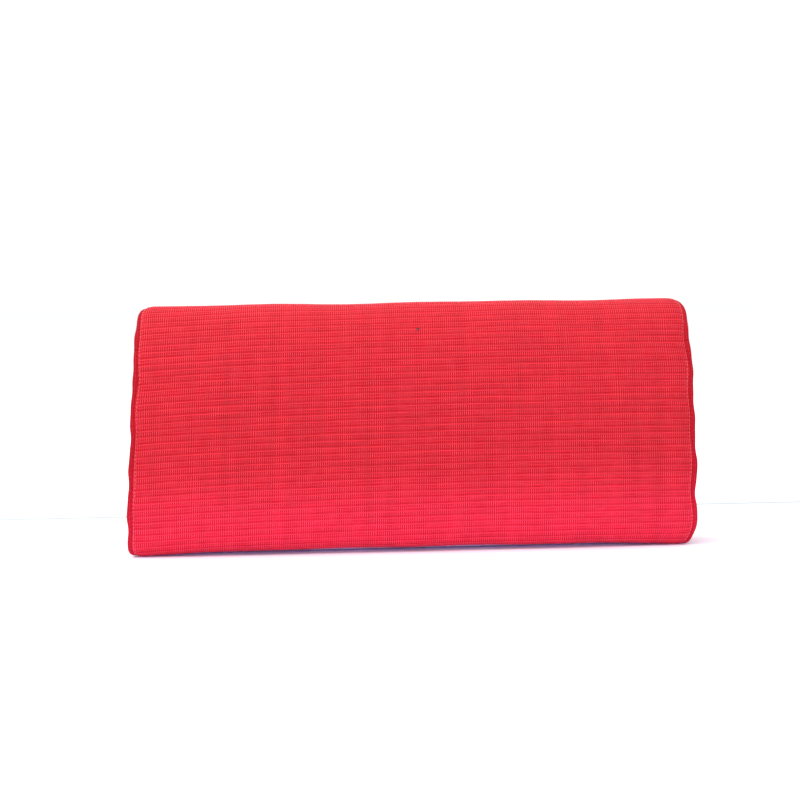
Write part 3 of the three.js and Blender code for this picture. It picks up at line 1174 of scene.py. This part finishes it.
def parts(place):
    """The two flat measures of a place: across and along."""
    node = place.tree.nodes.new("ShaderNodeSeparateXYZ")
    feed(place.tree, node.inputs[0], place)
    return Signal(place.tree, node.outputs[0]), Signal(place.tree, node.outputs[1])


def noise(place, scale, detail=2.0, rough=0.5):
    node = place.tree.nodes.new("ShaderNodeTexNoise")
    for key, value in (("Vector", place), ("Scale", scale), ("Detail", detail), ("Roughness", rough)):
        feed(place.tree, node.inputs[key], value)
    return Signal(place.tree, node.outputs["Fac"])


def uneven(across, along, detail=2.0):
    """Noise over a flat place."""
    node = across.tree.nodes.new("ShaderNodeCombineXYZ")
    feed(across.tree, node.inputs[0], across)
    feed(across.tree, node.inputs[1], along)
    return noise(Signal(across.tree, node.outputs[0]), 1.0, detail)


def hump(turns, kind="COSINE"):
    """A smooth rise and fall between 0 and 1, once in each turn."""
    return (turns * full_turn).of(kind) * 0.5 + 0.5


def blended(share, low, high):
    node = share.tree.nodes.new("ShaderNodeMix")
    node.data_type = "RGBA"
    colour_low, colour_high, colour_out = node.inputs[6], node.inputs[7], node.outputs[2]
    for socket, value in ((node.inputs["Factor"], share), (colour_low, low), (colour_high, high)):
        feed(share.tree, socket, value)
    return Signal(share.tree, colour_out)


def remap(value, from_low, from_high, to_low, to_high):
    node = value.tree.nodes.new("ShaderNodeMapRange")
    for socket, number in zip(node.inputs, (value, from_low, from_high, to_low, to_high)):
        feed(value.tree, socket, number)
    return Signal(value.tree, node.outputs[0])


def new_group(name, inputs, outputs):
    """A node group that takes a place on the cloth and some measures, and gives signals."""
    tree = bpy.data.node_groups.new(name, "ShaderNodeTree")
    tree.interface.new_socket("Cloth", in_out="INPUT", socket_type="NodeSocketVector")
    for key, value in inputs.items():
        socket = tree.interface.new_socket(key, in_out="INPUT", socket_type="NodeSocketFloat")
        socket.default_value = value
    for key in outputs:
        tree.interface.new_socket(key, in_out="OUTPUT", socket_type="NodeSocketFloat")
    given = signals(tree, tree.nodes.new("NodeGroupInput").outputs)
    return tree, given, tree.nodes.new("NodeGroupOutput").inputs


# %% [markdown]
# ## The weaves
# The pouch cloth is woven from fat yarns across and thin threads up and down, so it shows
# ribs. Ribs come in pairs, one strong and one weak, with a deep valley and a shallow valley
# between them, and the thin threads dot the valleys, more in some patches than in others. The
# group works in the cloth's own metres, and gives a height for bump, a mask of painted shade for
# the valleys, a mask of the dots (their lit halves get a painted highlight, their other halves add
# to the painted shade), and a tone that differs from yarn to yarn. The plain weave, for the tapes
# and the glass cloth, goes over and under in both directions, with painted shade in its gaps.

# %% Build the weaves
row_wander, thread_wander = 0.35, 1.2
rib_sharpness = 1.4
weak_rib, weak_rib_zone = 0.65, 0.6
shallow_valley, shallow_zone = 0.7, 0.4
dot_shade_gain = 1.7
dot_height = 0.3
yarn_share = 0.55


def build_ribbed_weave():
    tree, given, gives = new_group(
        "ribbed_weave", {"Rib pitch": 1.715 * mm, "Thread pitch": 1.1 * mm},
        ["Height", "Valley shade", "Tone", "Dot highlights"],
    )
    u, v = parts(given["Cloth"])
    row = v / given["Rib pitch"] + uneven(u * 45, v * 90) * row_wander
    thread = u / given["Thread pitch"] + uneven(u * 120, v * 12) * thread_wander
    row_number = (row + 0.5).of("FLOOR")
    rib = hump(row) ** rib_sharpness
    strong, deep = hump(row * 0.5), hump(row * 0.5, "SINE")
    bright = rib * (strong * (1 - weak_rib) + weak_rib)
    patches = remap(uneven(u * 130, row_number * 0.73), 0.38, 0.56, 0.3, 1.0)
    zone = (1 - rib * (strong * (1 - weak_rib_zone) + weak_rib_zone)) * (1 - deep * shallow_zone)
    # The thin threads are real; the upper half of their wave gets a painted highlight, the lower half
    # painted shade.
    wave = (thread * full_turn).of("SINE") * zone * patches
    dots = wave.worked("MAXIMUM", wave, 0.0)
    dot_shade = wave.worked("MAXIMUM", wave * -1.0, 0.0)
    # Painted shade in the valleys between ribs, deepened where the thin threads are shaded.
    valley = (1 - bright) * (deep * 0.25 + shallow_valley)
    valley = (dot_shade * dot_shade_gain + valley).clamped()
    yarn, streak = uneven(u * 35, row_number * 1.37), uneven(u * 160, v * 4, 3.0)
    feed(tree, gives["Height"], dots * dot_height + (1 - valley))
    feed(tree, gives["Valley shade"], valley)
    feed(tree, gives["Tone"], yarn * yarn_share + streak * (1 - yarn_share))
    feed(tree, gives["Dot highlights"], dots)
    return tree


def build_plain_weave():
    tree, given, gives = new_group(
        "plain_weave", {"Across pitch": 1.0 * mm, "Along pitch": 1.0 * mm, "Slant": 0.0},
        ["Height", "Gap shade", "Tone"],
    )
    u, v = parts(given["Cloth"])
    u = u / given["Across pitch"]
    v = v / given["Along pitch"] + u * given["Slant"]
    v = uneven(u * 0.3, v * 0.3) * 0.3 + v
    over = (u * full_turn).of("COSINE") * (v * full_turn).of("COSINE")
    # Gaps between the yarns, where they cross over and under, as a mask of painted shade.
    crossing = (u * full_turn).of("SINE").of("ABSOLUTE") * (v * full_turn).of("SINE").of("ABSOLUTE")
    feed(tree, gives["Height"], (over * 0.5 + 0.5) ** 0.8)
    feed(tree, gives["Gap shade"], (crossing * 0.8).clamped())
    feed(tree, gives["Tone"], uneven(u * 0.05, v.of("FLOOR")))
    return tree


ribbed_weave, plain_weave = build_ribbed_weave(), build_plain_weave()

# %% [markdown]
# ## The materials
# Each finish keeps its shader in the material, and the groups only feed colour, roughness and
# bump. Values that are the same all over, such as sheen, are set on the shader itself. Noise
# gathers round one half, so `stretched` spreads it over the whole of a range.

# %% Mix the finishes
def new_finish(name, **shader_values):
    finish = bpy.data.materials.new(name)
    finish.use_nodes = True
    shader = finish.node_tree.nodes["Principled BSDF"]
    for key, value in shader_values.items():
        shader.inputs[key.replace("_", " ")].default_value = value
    return finish, finish.node_tree, shader


def paint(shader, colour, roughness, height_value, bump_depth):
    tree = shader.id_data
    feed(tree, shader.inputs["Base Color"], colour)
    feed(tree, shader.inputs["Roughness"], roughness)
    bump = tree.nodes.new("ShaderNodeBump")
    bump.inputs["Distance"].default_value = bump_depth
    feed(tree, bump.inputs["Height"], height_value)
    tree.links.new(bump.outputs[0], shader.inputs["Normal"])


def weave_in(tree, group, **measures):
    uv = tree.nodes.new("ShaderNodeUVMap")
    uv.uv_map = "cloth"
    node = tree.nodes.new("ShaderNodeGroup")
    node.node_tree = group
    tree.links.new(uv.outputs[0], node.inputs["Cloth"])
    for key, value in measures.items():
        node.inputs[key.replace("_", " ")].default_value = value
    return signals(tree, node.outputs)


def object_place(tree):
    return Signal(tree, tree.nodes.new("ShaderNodeTexCoord").outputs["Object"])


def stretched(noise_value, low, high):
    return remap(noise_value, 0.3, 0.7, low, high)


def ribbed_cloth(name, valley_shade_colour, rib_colour, dot_highlight_colour, rib_depth, **pitches):
    finish, tree, shader = new_finish(
        name, Sheen_Weight=0.04, Sheen_Roughness=0.4, Specular_IOR_Level=0.1,
    )
    weave = weave_in(tree, ribbed_weave, **pitches)
    # The valley colour is painted shade in the valleys, and the dot colour a painted highlight on the lit
    # dots.
    colour = blended(weave["Valley shade"], rib_colour, valley_shade_colour)
    colour = blended((weave["Dot highlights"] * 1.1).clamped(), colour, dot_highlight_colour)
    toned = tree.nodes.new("ShaderNodeHueSaturation")
    feed(tree, toned.inputs["Color"], colour)
    feed(tree, toned.inputs["Value"], stretched(weave["Tone"], 0.82, 1.12))
    roughness = remap(weave["Valley shade"], 0.0, 1.0, 0.52, 0.75)
    paint(shader, Signal(tree, toned.outputs[0]), roughness, weave["Height"], rib_depth)
    return finish


def coated_back():
    finish, tree, shader = new_finish("coated_back", Sheen_Weight=0.05)
    weave = weave_in(tree, ribbed_weave)
    colour = blended(stretched(weave["Tone"], 0.0, 1.0), (0.34, 0.012, 0.022, 1), (0.43, 0.02, 0.032, 1))
    paint(shader, colour, 0.42, weave["Height"], 0.1 * mm)
    return finish


def woven(name, dark, light, roughness, bump_depth, sheen, **pitches):
    finish, tree, shader = new_finish(name, Sheen_Weight=sheen, Sheen_Roughness=0.4)
    weave = weave_in(tree, plain_weave, **pitches)
    dull = tuple(0.86 * c for c in light[:3]) + (1,)
    # The dark colour is painted shade in the gaps between yarns; the light one varies from yarn to yarn.
    colour = blended(weave["Gap shade"], blended(stretched(weave["Tone"], 0.0, 1.0), light, dull), dark)
    gap_roughness = remap(weave["Gap shade"], 0.0, 1.0, roughness, roughness + 0.2)
    paint(shader, colour, gap_roughness, weave["Height"], bump_depth)
    return finish


def grainy(name, scale, dark, light, smooth, rough, bump_depth, **shader_values):
    finish, tree, shader = new_finish(name, **shader_values)
    grain = noise(object_place(tree), scale, rough=0.6)
    paint(shader, blended(grain, dark, light), stretched(grain, smooth, rough), grain, bump_depth)
    return finish


def pile_finish():
    finish, tree, shader = new_finish("loop_pile", Sheen_Weight=0.4, Sheen_Roughness=0.6)
    fuzz = noise(object_place(tree), 1500.0, 3.0, 0.7)
    clumps = noise(object_place(tree), 380.0, 2.0, 0.6)
    colour = blended(fuzz, (0.012, 0.012, 0.013, 1), (0.055, 0.055, 0.06, 1))
    paint(shader, colour, stretched(clumps, 0.8, 1.0), fuzz + clumps, 0.6 * mm)
    return finish


def thread_finish(name, dark, light):
    return grainy(name, 2500.0, dark, light, 0.4, 0.65, 0.1 * mm, Sheen_Weight=0.2)


# Red cloth: the rib colour is the cloth's own; the valley colour is painted shade and the dot colour a
# painted highlight.
red_cloth = ribbed_cloth(
    "red_ribbed_cloth", valley_shade_colour=(0.40, 0.0006, 0.009, 1), rib_colour=(0.72, 0.026, 0.045, 1),
    dot_highlight_colour=(0.84, 0.068, 0.092, 1), rib_depth=0.3 * mm,
)
# A darker copy of the red cloth: painted shade for the turned seams, also worn by the hem and the mouth
# binding; its finer ribs are its own.
seam_cloth_shaded = ribbed_cloth(
    "turned_seam_cloth", valley_shade_colour=(0.34, 0.001, 0.008, 1), rib_colour=(0.5, 0.006, 0.018, 1),
    dot_highlight_colour=(0.58, 0.022, 0.036, 1), rib_depth=0.15 * mm,
    Rib_pitch=1.15 * mm, Thread_pitch=0.9 * mm,
)
lining = coated_back()
# Webbing and glass cloth: the first colour is painted shade for the gaps, the second the yarn's own.
webbing = woven(
    "black_webbing", (0.004, 0.004, 0.005, 1), (0.03, 0.03, 0.034, 1), 0.6, 0.35 * mm, 0.25,
    Across_pitch=2.1 * mm, Along_pitch=1.5 * mm, Slant=0.5,
)
glass = woven(
    "glass_cloth", (0.5, 0.47, 0.4, 1), (0.86, 0.84, 0.78, 1), 0.42, 0.22 * mm, 0.15,
    Across_pitch=2.0 * mm, Along_pitch=2.0 * mm,
)
pile = pile_finish()
nylon = grainy(
    "hook_nylon", 900.0, (0.014, 0.014, 0.016, 1), (0.035, 0.035, 0.04, 1), 0.35, 0.6, 0.15 * mm,
)
red_thread = thread_finish("red_thread", (0.5, 0.012, 0.03, 1), (0.8, 0.09, 0.12, 1))
black_thread = thread_finish("black_thread", (0.02, 0.02, 0.022, 1), (0.07, 0.07, 0.075, 1))
lint_grey = thread_finish("lint_fibre", (0.03, 0.008, 0.01, 1), (0.08, 0.02, 0.025, 1))


def wear(piece, *finishes):
    """The first finish goes on the outside of a sheet, and the last one on its inside."""
    surfaces = piece.data.materials
    while len(surfaces) < len(finishes):
        surfaces.append(None)
    for i in range(len(surfaces)):
        surfaces[i] = finishes[min(i, len(finishes) - 1)]


for piece in (front_cloth, plain_cloth, shoulder_cloth, tail_cloth, *end_walls):
    wear(piece, red_cloth, lining)
for piece in (*seams, hem, mouth_binding):
    wear(piece, seam_cloth_shaded)
for piece in loops:
    wear(piece, pile)
for piece in (*hooks, *hook_fields):
    wear(piece, nylon)
for piece in pull_tapes:
    wear(piece, webbing)
for piece in (*stitches, mouth_stitches):
    wear(piece, red_thread)
for piece in tape_sewing:
    wear(piece, black_thread)
wear(folded_blanket, glass)
wear(lint_speck, lint_grey)

# %% [markdown]
# ## The stage
# A white floor under soft light. The floor is lit a little past white, so that only the
# shadow right under the pouch shows on it, and a weak low lamp tints that shadow violet. Far
# behind, a faint darker line of painted shade stands for the table's edge.

# %% Set the floor and the lights
table_edge_y = 0.153
edge_shade_width = 9 * mm
floor_reach = 6


def floor_finish():
    finish, tree, shader = new_finish("white_floor", Roughness=0.9)
    _, y = parts(object_place(tree))
    # A faint darker line of painted shade where the table's edge would be.
    line = (1 - (y - table_edge_y).of("ABSOLUTE") / edge_shade_width).clamped()
    colour = blended(line, (0.92, 0.92, 0.95, 1), (0.36, 0.42, 0.44, 1))
    feed(tree, shader.inputs["Base Color"], colour)
    return finish


floor_grid = bmesh.new()
bmesh.ops.create_grid(floor_grid, x_segments=1, y_segments=1, size=floor_reach)
floor = object_from("floor", floor_grid)
wear(floor, floor_finish())


def soft_light(name, place, target, size, watts, colour, spread=180):
    lamp = bpy.data.lights.new(name, "AREA")
    lamp.shape = "RECTANGLE"
    lamp.size, lamp.size_y = size
    lamp.energy = watts
    lamp.color = colour
    lamp.spread = math.radians(spread)
    made = bpy.data.objects.new(name, lamp)
    bpy.context.scene.collection.objects.link(made)
    made.location = place
    made.rotation_mode = "QUATERNION"
    made.rotation_quaternion = (Vector(target) - Vector(place)).to_track_quat("-Z", "Y")
    made.visible_camera = False


soft_light("top_light", (-0.35, -0.12, 1.2), (0, 0, 0.05), (1.2, 0.9), 13, (1.0, 0.97, 0.93))
soft_light("front_light", (0.1, -1.5, 0.75), (0, 0, 0.06), (1.4, 1.0), 1.5, (1.0, 0.98, 0.97))
soft_light("back_light", (0.3, 1.4, 0.9), (0, 0, 0.06), (1.2, 0.9), 3, (1.0, 1.0, 1.0))
soft_light(
    "low_bounce", (0, -0.08, 0.008), (0, -0.02, 0.008), (0.42, 0.012), 0.06, (0.48, 0.25, 1.0), 80,
)

world = bpy.data.worlds.new("white_room")
bpy.context.scene.world = world
world.use_nodes = True
sky = world.node_tree.nodes["Background"]
sky.inputs["Color"].default_value = (0.96, 0.98, 1.0, 1)
sky.inputs["Strength"].default_value = 1.12
bpy.context.scene.view_settings.view_transform = "Standard"
bpy.context.scene.view_settings.look = "None"

# %% Write the sizes and finish
print("cad box", [round(x / mm, 1) for x in (*cad_low, *cad_high)])
